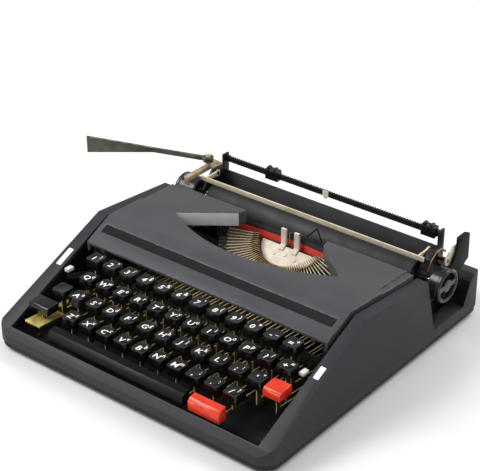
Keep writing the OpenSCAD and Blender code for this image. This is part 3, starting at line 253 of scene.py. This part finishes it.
# Carriage rails, escapement, mainspring drum and bell.
# The rails are planed steel, the escape wheel and pinion are cut brass on one axle.
# Drum and bell are spun sheet, the bell nickel plated.
rail_steel = finish("rail_steel", (150, 150, 152), (118, 116, 112), 1.0, 0.3, 14, 0.3, 0.006)
wheel_brass = finish("wheel_brass", (181, 152, 90), (140, 112, 60), 1.0, 0.35, 5, 0.3, 0.006)
bell_nickel = finish("bell_nickel", (200, 198, 190), (172, 168, 158), 1.0, 0.22, 12, 0.4, 0.003)
clad("carriage_rails", rail_steel)
clad("escapement_bracket", plated_steel)
clad("escapement_wheel", wheel_brass)
clad("mainspring_drum", plated_steel)
clad("bell", bell_nickel)


# Key levers of the four rows.
# Each is a flat stamping in brass that turns on the long rod and stands up to its key top.
# The flat sides have gone brown in patches; the narrow stamped edges are painted bright as a highlight.
lever_brass = finish("lever_brass", (128, 108, 60), (70, 56, 30), 0.4, 0.4, 11, 0.5, 0.012,
                     (190, 170, 116))
lever_painted_highlight = finish("lever_painted_highlight", (255, 246, 200), (226, 204, 138), 0.3, 0.3, 7, 0.4, 0.008)


def paint_edge_highlight(piece, sides, edges):
    """The faces of flat stampings that do not face sideways, mostly their narrow edges, take a brighter
    finish as a painted highlight.
    """
    turned_away = 0.5
    for face in piece.data.polygons:
        if face.material_index == sides and abs(face.normal.x) < turned_away:
            face.material_index = edges


for row in (1, 2, 3, 4):
    levers = rounded("levers_row_%d" % row, "brass_levers_row_%d" % row, 0.15,
                     lever_brass, lever_painted_highlight, steps=1)
    # Their narrow edges are painted bright as a highlight.
    paint_edge_highlight(levers, 0, 1)
    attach(levers, "row_%d" % row)
    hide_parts("levers_row_%d" % row)


# Key tops with their letters.
# They are black moulded caps with round corners and a dished face, pressed on the levers.
# Letters and figures are white, filled flush into the face.
key_black = finish("key_black", (12, 12, 13), (18, 18, 19), 0.0, 0.2, 7, 0.5, 0.006, (48, 48, 52), 0.4)
letter_white = finish("letter_white", (250, 250, 248), (238, 236, 230), 0.0, 0.4, 3, 0.4, 0.004)
key_w, key_dish, key_pitch = 13.5, 0.7, 19.0
bowl_r = ((key_w / 2) ** 2 + key_dish ** 2) / (2 * key_dish)
letter_sizes = (8.2, 6.0)
letter_places = ((-1.4, -1.4), (3.1, 2.4))
letter_bold, letter_lift = 0.016, 0.08
type_key_row, type_key_place = 3, 5
key_rows = (
    (-104.5, -66.9, 62.5, ("1!", "2\"", "3/", "4$", "5%", "6&", "7'", "8(", "9)", "0*", "-_", "=+")),
    (-96.1, -84.75, 55.0, ("Qq", "Ww", "Ee", "Rr", "Tt", "Yy", "Uu", "Ii", "Oo", "Pp", "?/", "+=")),
    (-91.5, -102.6, 47.5, ("Aa", "Ss", "Dd", "Ff", "Gg", "Hh", "Jj", "Kk", "Ll", ";:", "'\"")),
    (-82.1, -120.45, 40.0, ("Zz", "Xx", "Cc", "Vv", "Bb", "Nn", "Mm", ",;", ".:", "/?")),
)


def letter(shape, glyph, size, middle, face_z, bowl_middle):
    """One glyph on a key's face, bent to the dish."""
    curve = bpy.data.curves.new("glyph", "FONT")
    curve.body = glyph
    curve.size = size * MM
    curve.align_x = "CENTER"
    curve.align_y = "CENTER"
    curve.resolution_u = 2
    curve.offset = letter_bold * size * MM
    drawn = bpy.data.objects.new("glyph", curve)
    bpy.context.scene.collection.objects.link(drawn)
    bpy.context.view_layer.update()
    settled = drawn.evaluated_get(bpy.context.evaluated_depsgraph_get())
    flat = bpy.data.meshes.new_from_object(settled)
    bpy.data.objects.remove(drawn)
    bpy.data.curves.remove(curve)
    flat.transform(Matrix.Translation((middle[0] * MM, middle[1] * MM, 0)))
    for vert in flat.vertices:
        out = math.hypot(vert.co.x / MM - bowl_middle[0], vert.co.y / MM - bowl_middle[1])
        sunk = key_dish - bowl_r + math.sqrt(max(bowl_r ** 2 - out ** 2, 0))
        vert.co.z = (face_z - max(sunk, 0) + letter_lift) * MM
    shape.from_mesh(flat)
    bpy.data.meshes.remove(flat)


for row, (first_x, row_y, face_z, glyphs) in enumerate(key_rows, start=1):
    caps = rounded("keytops_row_%d" % row, "key_caps_row_%d" % row, 0.7, key_black, steps=3)
    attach(caps, "row_%d" % row)
    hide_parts("keytops_row_%d" % row)
    marks = bmesh.new()
    single = bmesh.new()
    for i, pair in enumerate(glyphs):
        x = first_x + i * key_pitch
        sheet = single if (row, i) == (type_key_row, type_key_place) else marks
        for glyph, size, (aside, behind) in zip(pair, letter_sizes, letter_places):
            letter(sheet, glyph, size, (x + aside, row_y + behind), face_z, (x, row_y))
    letters = new_piece("letters_row_%d" % row, marks, letter_white)
    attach(letters, "row_%d" % row)
    if row == type_key_row:
        letters = new_piece("letter_type_key", single, letter_white)
        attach(letters, "type_key")
    else:
        single.free()


# Keys that are one piece with their lever: the single type key, shift, lock, space bar and red keys.
# Black or red moulded caps sit on brass stampings of the same kind as the rest.
# The shift lever is broad and plainly seen in the left corner.
bar_black = finish("bar_black", (10, 10, 11), (15, 15, 16), 0.0, 0.36, 9, 0.5, 0.008,
                   (44, 44, 47), shine=0.14)
red_plastic = finish("red_plastic", (226, 58, 34), (208, 46, 26), 0.0, 0.28, 9, 0.5, 0.008,
                     (240, 110, 84), 0.3)
# The shift tread's top and front are painted a light brass, as light falling on them.
tread_painted_light = finish("tread_painted_light", (222, 204, 122), (158, 138, 66), 0.35, 0.34, 6, 0.4, 0.012,
                     (244, 232, 168))
cap_foot_z, shift_foot_z = 39.4, 32.9
bar_back_y, bar_foot_z = -133.4, 21.0
lever_keys = (
    ("type_key", "type_key", key_black, 0.7, lambda p: p.z < cap_foot_z),
    ("shift_lock", "shift_lock", key_black, 0.7, lambda p: p.z < cap_foot_z),
    ("shift_key", "shift", key_black, 1.2, lambda p: p.z < shift_foot_z),
    ("space_bar", "space_bar", bar_black, 1.2, lambda p: p.y > bar_back_y or p.z < bar_foot_z),
    ("red_key_right", "red_right", red_plastic, 1.4, lambda p: p.z < cap_foot_z),
    ("red_key_front", "red_front", red_plastic, 1.4, lambda p: p.y > bar_back_y or p.z < bar_foot_z),
)
for node, body, cap_finish, width, on_lever in lever_keys:
    # The brass faces that do not face sideways, and the top of the shift tread, are painted lighter as a
    # highlight.
    highlight_finish = tread_painted_light if node == "shift_key" else lever_painted_highlight
    key = rounded(node, node + "_cap", width, cap_finish, lever_brass, highlight_finish, steps=3)
    paint(key, 1, on_lever)
    paint_edge_highlight(key, 1, 2)
    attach(key, body)
    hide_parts(node)


# Selector levers beside the keyboard.
# Each is a flat steel lever on a pin of the side plate, with a pale moulded cap.
pale_cap = finish("pale_cap", (226, 224, 216), (206, 202, 190), 0.0, 0.4, 4, 0.4, 0.006)
pale_low_z, pale_back_y = 48.4, -76.0
for word in ("left", "right"):
    selector = rounded("selector_" + word, "selector_lever_" + word, 0.4, plated_steel, pale_cap)
    paint(selector, 1, lambda p: p.z > pale_low_z and p.y < pale_back_y)
    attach(selector, "selector_" + word)
    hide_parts("selector_" + word)


# Type basket: segment, face plate, guide, typebars and rest.
# The segment is cast and slotted, with a bright riveted plate in its middle.
# Typebars are stamped and plated steel with a type slug at each end, lying on a felt arc.
segment_bronze = finish("segment_bronze", (150, 126, 90), (98, 78, 52), 0.6, 0.42, 6, 0.4, 0.01)
ivory_plate = finish("ivory_plate", (236, 228, 212), (216, 206, 185), 0.1, 0.58, 8, 0.4, 0.012,
                     (244, 238, 226), shine=0.15)
type_steel = finish("type_steel", (226, 212, 184), (190, 174, 146), 0.45, 0.32, 6, 0.3, 0.008,
                    (240, 230, 210))
rest_felt = finish("rest_felt", (40, 37, 34), (54, 49, 44), 0.0, 0.95, 4, 0.5, 0.12)
clad("typebar_segment", segment_bronze)
clad("typebar_rest", rest_felt)
face_plate = rounded("segment_face", "basket_face_plate", 0.35, ivory_plate)
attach(face_plate, "base")
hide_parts("segment_face")
wire_dark = finish("wire_dark", (52, 50, 50), (38, 36, 36), 0.9, 0.35, 4, 0.3, 0.004)
wire_x = 10.0
guide = rounded("type_guide", "type_guide_plate", 0.2, ivory_plate, wire_dark)
paint(guide, 1, lambda p: p.x > wire_x)
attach(guide, "base")
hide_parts("type_guide")
slug_ink_and_shade = finish("slug_ink_and_shade", (74, 68, 60), (40, 36, 33), 0.5, 0.42, 3, 0.3, 0.01, (150, 140, 122))
basket_middle = Vector((0.0, 72.4, 55.4))
pivot_r, shank_len = 36.0, 25.0
slug_reach = pivot_r + shank_len
for node, body in (("typebars", "base"), ("typebar_struck", "typebar")):
    bars = rounded(node, node + "_plated", 0.14, type_steel, slug_ink_and_shade, steps=1)
    # The outer ends, the slugs, are painted dark: partly their ink, partly painted shade where the bars run
    # under the cover.
    paint(bars, 1, lambda p: (p - basket_middle).length > slug_reach)
    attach(bars, body)
    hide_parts(node)


# Ribbon with its spools, cups, posts and lifting fork.
# The ribbon is inked cotton tape, red below and black above, drawn from spool to spool.
# It runs round two steel posts and through the fork in front of the platen.
spool_plastic = finish("spool_plastic", (45, 45, 48), (56, 56, 60), 0.0, 0.4, 10, 0.5, 0.01)
fork_steel = finish("fork_steel", (222, 216, 202), (190, 182, 166), 0.9, 0.3, 5, 0.3, 0.005)
clad("spool_left", spool_plastic)
clad("spool_right", spool_plastic)
clad("spool_cups", plated_steel)
clad("ribbon_guides", drawn_steel)
clad("ribbon_vibrator", fork_steel)


def cloth(name, colour, faded):
    """Fine plain-weave tape: threads across and along, and uneven ink."""
    made = bpy.data.materials.new(name)
    made.use_nodes = True
    nodes = made.node_tree.nodes
    link = made.node_tree.links.new
    shader = nodes["Principled BSDF"]
    shader.inputs["Roughness"].default_value = 0.85
    shader.inputs["Sheen Weight"].default_value = 0.25
    place = nodes.new("ShaderNodeTexCoord")
    ink = nodes.new("ShaderNodeTexNoise")
    ink.inputs["Scale"].default_value = 120.0
    ink.inputs["Detail"].default_value = 4.0
    link(place.outputs["Object"], ink.inputs["Vector"])
    tint = nodes.new("ShaderNodeMix")
    tint.data_type = "RGBA"
    tint.inputs[MIX_FIRST].default_value = tone(*colour)
    tint.inputs[MIX_SECOND].default_value = tone(*faded)
    link(ink.outputs["Fac"], tint.inputs[MIX_SHARE])
    link(tint.outputs[MIX_RESULT], shader.inputs["Base Color"])
    weave = []
    for direction in ("X", "Z"):
        thread = nodes.new("ShaderNodeTexWave")
        thread.bands_direction = direction
        thread.inputs["Scale"].default_value = 700.0
        link(place.outputs["Object"], thread.inputs["Vector"])
        weave.append(thread)
    crossed = nodes.new("ShaderNodeMath")
    crossed.operation = "MULTIPLY"
    link(weave[0].outputs["Fac"], crossed.inputs[0])
    link(weave[1].outputs["Fac"], crossed.inputs[1])
    bump = nodes.new("ShaderNodeBump")
    bump.inputs["Distance"].default_value = 0.05 * MM
    link(crossed.outputs["Value"], bump.inputs["Height"])
    link(bump.outputs["Normal"], shader.inputs["Normal"])
    return made


ribbon_black = cloth("ribbon_black", (24, 22, 24), (40, 36, 38))
ribbon_red = cloth("ribbon_red", (255, 66, 38), (240, 50, 28))
ribbon_w, ribbon_z, ribbon_y, ribbon_t = 13.0, 46.0, 70.7, 0.15
red_share, coil_r, post_ahead = 0.6, 18.5, 4.15
slant_steps, front_steps, height_steps = 8, 10, 5
spool = Vector((-95.0, 12.0))
pin = Vector((-80.0, ribbon_y - post_ahead))
fork_side = Vector((-10.0, ribbon_y))
turn = pin - spool
leave = math.atan2(turn.y, turn.x) + math.acos(coil_r / turn.length)
start = spool + coil_r * Vector((math.cos(leave), math.sin(leave)))
left_half = [start.lerp(pin, k / slant_steps) for k in range(slant_steps)]
left_half += [pin.lerp(fork_side, k / front_steps) for k in range(front_steps + 1)]
route = left_half + [Vector((-p.x, p.y)) for p in reversed(left_half)]
tape = bmesh.new()
line = [tape.verts.new((p.x * MM, p.y * MM, ribbon_z * MM)) for p in route]
lowest = [tape.edges.new(pair) for pair in zip(line, line[1:])]
for step in range(height_steps):
    raised = bmesh.ops.extrude_edge_only(tape, edges=lowest)["geom"]
    lowest = [g for g in raised if isinstance(g, bmesh.types.BMEdge)]
    bmesh.ops.translate(tape, vec=(0, 0, ribbon_w / height_steps * MM),
                        verts=[g for g in raised if isinstance(g, bmesh.types.BMVert)])
bmesh.ops.recalc_face_normals(tape, faces=tape.faces)
ribbon = new_piece("ink_ribbon", tape, ribbon_black, ribbon_red)
paint(ribbon, 1, lambda p: p.z < ribbon_z + red_share * ribbon_w)
thick = ribbon.modifiers.new("thickness", "SOLIDIFY")
thick.thickness = ribbon_t * MM
thick.offset = 0.0
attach(ribbon, "base")
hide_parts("ribbon")


# Top cover.
# It is one panel in grey plastic with a satin skin, turning on a rod below its front edge.
# A darker strip is let into its front slope; the left wall of the type opening is smoother and painted pale
# as light falling on it.
cover_satin = finish("cover_satin", (70, 70, 74), (76, 76, 80), 0.0, 0.46, 50, 0.8, 0.05, (108, 108, 112))
stripe_dark = finish("stripe_dark", (26, 26, 30), (32, 32, 36), 0.0, 0.6, 30, 0.6, 0.02, shine=0.12)
wall_painted_light = finish("wall_painted_light", (228, 228, 234), (216, 216, 222), 0.0, 0.4, 30, 0.6, 0.015)
front_y, front_z, front_slope = -54.1, 64.7, 0.453
stripe_front_y, stripe_back_y, stripe_half = -41.9, -33.3, 122.8
stripe_top, stripe_floor = 0.3, 1.2
wall_left_x, wall_right_x = -98.0, -44.0
wall_front_y, wall_back_y = 15.0, 53.0
wall_low_z, wall_high_z = 61.0, 71.5


def in_stripe(p):
    """The floor of the strip that is let into the front slope."""
    surface_z = front_z + (p.y - front_y) * front_slope
    within = stripe_front_y < p.y < stripe_back_y and abs(p.x) < stripe_half
    return within and surface_z - stripe_floor < p.z < surface_z - stripe_top


def on_left_wall(p):
    """The left wall of the type opening, painted pale as light falling on it."""
    within = wall_left_x < p.x < wall_right_x and wall_front_y < p.y < wall_back_y
    return within and wall_low_z < p.z < wall_high_z


cover = rounded("top_cover", "cover_panel", 0.7, cover_satin, stripe_dark, wall_painted_light)
paint(cover, 1, in_stripe)
# The left wall of the type opening is painted pale, as light falling on it.
paint(cover, 2, on_left_wall)
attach(cover, "cover")
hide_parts("top_cover")


# Carriage: bed, end plates and paper pan.
# The bed is planed steel with the rack under it. The end plates are blackened steel.
# The right one has a bronzed flange over the shaft.
# The pan is thin sheet, rolled round the platen and sprayed dark.
black_steel = finish("black_steel", (22, 22, 24), (34, 33, 33), 0.3, 0.38, 12, 0.4, 0.01, (96, 92, 86))
pan_spray = finish("pan_spray", (58, 58, 60), (66, 66, 68), 0.2, 0.5, 25, 0.5, 0.012, (90, 88, 84))
clad("carriage_bed", plated_steel)
flange_bronze = finish("flange_bronze", (176, 142, 98), (128, 98, 62), 0.8, 0.34, 8, 0.4, 0.01,
                       (214, 188, 150))
flange_x, flange_z = 132.0, 60.0
carriage_sheets = (
    ("carriage_ends", "end_plates", black_steel),
    ("paper_pan", "rolled_pan", pan_spray),
)
for node, word, made in carriage_sheets:
    plate = rounded(node, word, 0.3, made, flange_bronze)
    if node == "carriage_ends":
        paint(plate, 1, lambda p: p.x > flange_x and p.z > flange_z)
    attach(plate, "carriage")
    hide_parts(node)


# Platen with shaft, knobs, ratchet and feed rollers.
# The platen is a tube under hard black rubber, the knobs are black mouldings on its shaft.
# The ratchet is cut brass, the feed rollers are soft rubber on thin rods.
platen_rubber = finish("platen_rubber", (52, 52, 53), (44, 44, 46), 0.0, 0.55, 20, 0.3, 0.008)
knob_black = finish("knob_black", (26, 27, 30), (34, 35, 38), 0.0, 0.28, 10, 0.5, 0.008,
                    (70, 70, 74), 0.3)
roller_rubber = finish("roller_rubber", (60, 53, 48), (48, 42, 38), 0.0, 0.75, 8, 0.4, 0.03)
roller = rounded("platen", "platen_cover", 0.6, platen_rubber, steps=3)
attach(roller, "platen")
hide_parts("platen")
knobs = rounded("platen_knobs", "moulded_knobs", 0.4, knob_black, steps=2)
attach(knobs, "platen")
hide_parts("platen_knobs")
clad("platen_shaft", drawn_steel)
clad("line_ratchet", wheel_brass)
clad("feed_roller_front", roller_rubber)
clad("feed_roller_rear", roller_rubber)


# Paper bail over the platen.
# A flat nickelled bar on two short arms that lifts off the paper.
bail_nickel = finish("bail_nickel", (232, 220, 194), (206, 192, 164), 0.3, 0.3, 14, 0.3, 0.006,
                     (250, 244, 230))
bail = rounded("paper_bail", "bail_bar", 0.4, bail_nickel)
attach(bail, "bail")
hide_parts("paper_bail")


# Margin rail with its two stops.
# The rail is a notched black strip between the end plates, with a pale pointer riveted to its middle.
# The stops are black mouldings that slide on it.
rail_black = finish("rail_black", (34, 34, 37), (46, 46, 48), 0.4, 0.4, 10, 0.4, 0.008)
pointer_back_y, pointer_left_x, pointer_right_x = 109.9, 2.9, 9.1
rail = rounded("margin_rail", "notched_rail", 0.15, rail_black, ivory_plate, steps=1)
paint(rail, 1, lambda p: p.y < pointer_back_y and pointer_left_x < p.x < pointer_right_x)
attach(rail, "carriage")
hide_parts("margin_rail")
for word in ("left", "right"):
    stop = rounded("margin_stop_" + word, "stop_slider_" + word, 0.5, key_black)
    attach(stop, "stop_" + word)
    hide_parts("margin_stop_" + word)


# Return lever on its bracket, and the two release levers at the right end.
# The bracket and the paper release are nickelled steel.
# The return lever is satin grey steel with a broad paddle.
# The carriage release is a black lever outside the right end plate.
lever_grey = finish("lever_grey", (96, 92, 85), (72, 69, 63), 0.6, 0.36, 14, 0.4, 0.01, (160, 154, 142))
bracket_bronze = finish("bracket_bronze", (208, 190, 158), (160, 138, 104), 0.5, 0.34, 9, 0.4,
                        0.012, (244, 234, 214))
release_black = finish("release_black", (14, 14, 15), (22, 22, 23), 0.0, 0.55, 9, 0.5, 0.01,
                       (52, 52, 54), shine=0.12)
end_levers = (
    ("lever_bracket", "carriage", bracket_bronze, 0.4, "bright_steel"),
    ("return_lever", "return_lever", lever_grey, 0.5, "dark_steel"),
    ("paper_release", "paper_release", ivory_plate, 0.4, "bright_steel"),
    ("carriage_release", "carriage_release", release_black, 0.5, "black_plastic"),
)
for node, body, made, width, slot in end_levers:
    lever = rounded(node, node + "_finished", width, made)
    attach(lever, body)
    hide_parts(node)


# Table top, light and camera.
# A pale matt floor under even studio light, seen from the front right and above.
floor_pale = finish("floor_pale", (236, 236, 236), (230, 230, 230), 0.0, 0.8, 120, 3.0, 0.02)
floor_half = 6.0
ground = bmesh.new()
bmesh.ops.create_grid(ground, x_segments=1, y_segments=1, size=floor_half)
floor = new_piece("table_top", ground, floor_pale)

ambient = 0.5
machine_middle = Vector((0, 0, 0.04))
world = bpy.data.worlds.new("studio")
world.use_nodes = True
world.node_tree.nodes["Background"].inputs["Color"].default_value = (1.0, 1.0, 1.0, 1.0)
world.node_tree.nodes["Background"].inputs["Strength"].default_value = ambient
bpy.context.scene.world = world
bpy.context.scene.view_settings.view_transform = "Standard"
lights = (
    ("key_light", (-1.1, -0.9, 1.5), 1.0, 32.0),
    ("rear_light", (0.5, 1.4, 1.4), 1.2, 22.0),
    ("right_light", (1.6, -0.5, 0.9), 0.9, 2.0),
)
for name, place, size, power in lights:
    lamp = bpy.data.lights.new(name, "AREA")
    lamp.size = size
    lamp.energy = power
    light = bpy.data.objects.new(name, lamp)
    light.location = place
    light.rotation_euler = (machine_middle - Vector(place)).to_track_quat("-Z", "Y").to_euler()
    bpy.context.scene.collection.objects.link(light)

turn_a, rise_a, roll_a = math.radians(39.16), math.radians(29.58), math.radians(-0.54)
camera_gap, focal_px, photo_w_px = 1303.9, 1517.7, 480.0
aim = Vector((-25.76, 29.20, 68.51)) * MM
back = Vector((math.sin(turn_a) * math.cos(rise_a), -math.cos(turn_a) * math.cos(rise_a), math.sin(rise_a)))
right = (-back).cross(Vector((0, 0, 1))).normalized()
up = right.cross(-back)
tilted_right = math.cos(roll_a) * right + math.sin(roll_a) * up
tilted_up = math.cos(roll_a) * up - math.sin(roll_a) * right
lens = bpy.data.cameras.new("camera")
lens.sensor_width = 36.0
lens.lens = focal_px * lens.sensor_width / photo_w_px
lens.clip_end = 20.0
camera = bpy.data.objects.new("camera", lens)
camera.matrix_world = Matrix((
    (tilted_right.x, tilted_up.x, back.x, 0),
    (tilted_right.y, tilted_up.y, back.y, 0),
    (tilted_right.z, tilted_up.z, back.z, 0),
    (0, 0, 0, 1),
))
camera.location = aim + back * camera_gap * MM
bpy.context.scene.collection.objects.link(camera)
bpy.context.scene.camera = camera
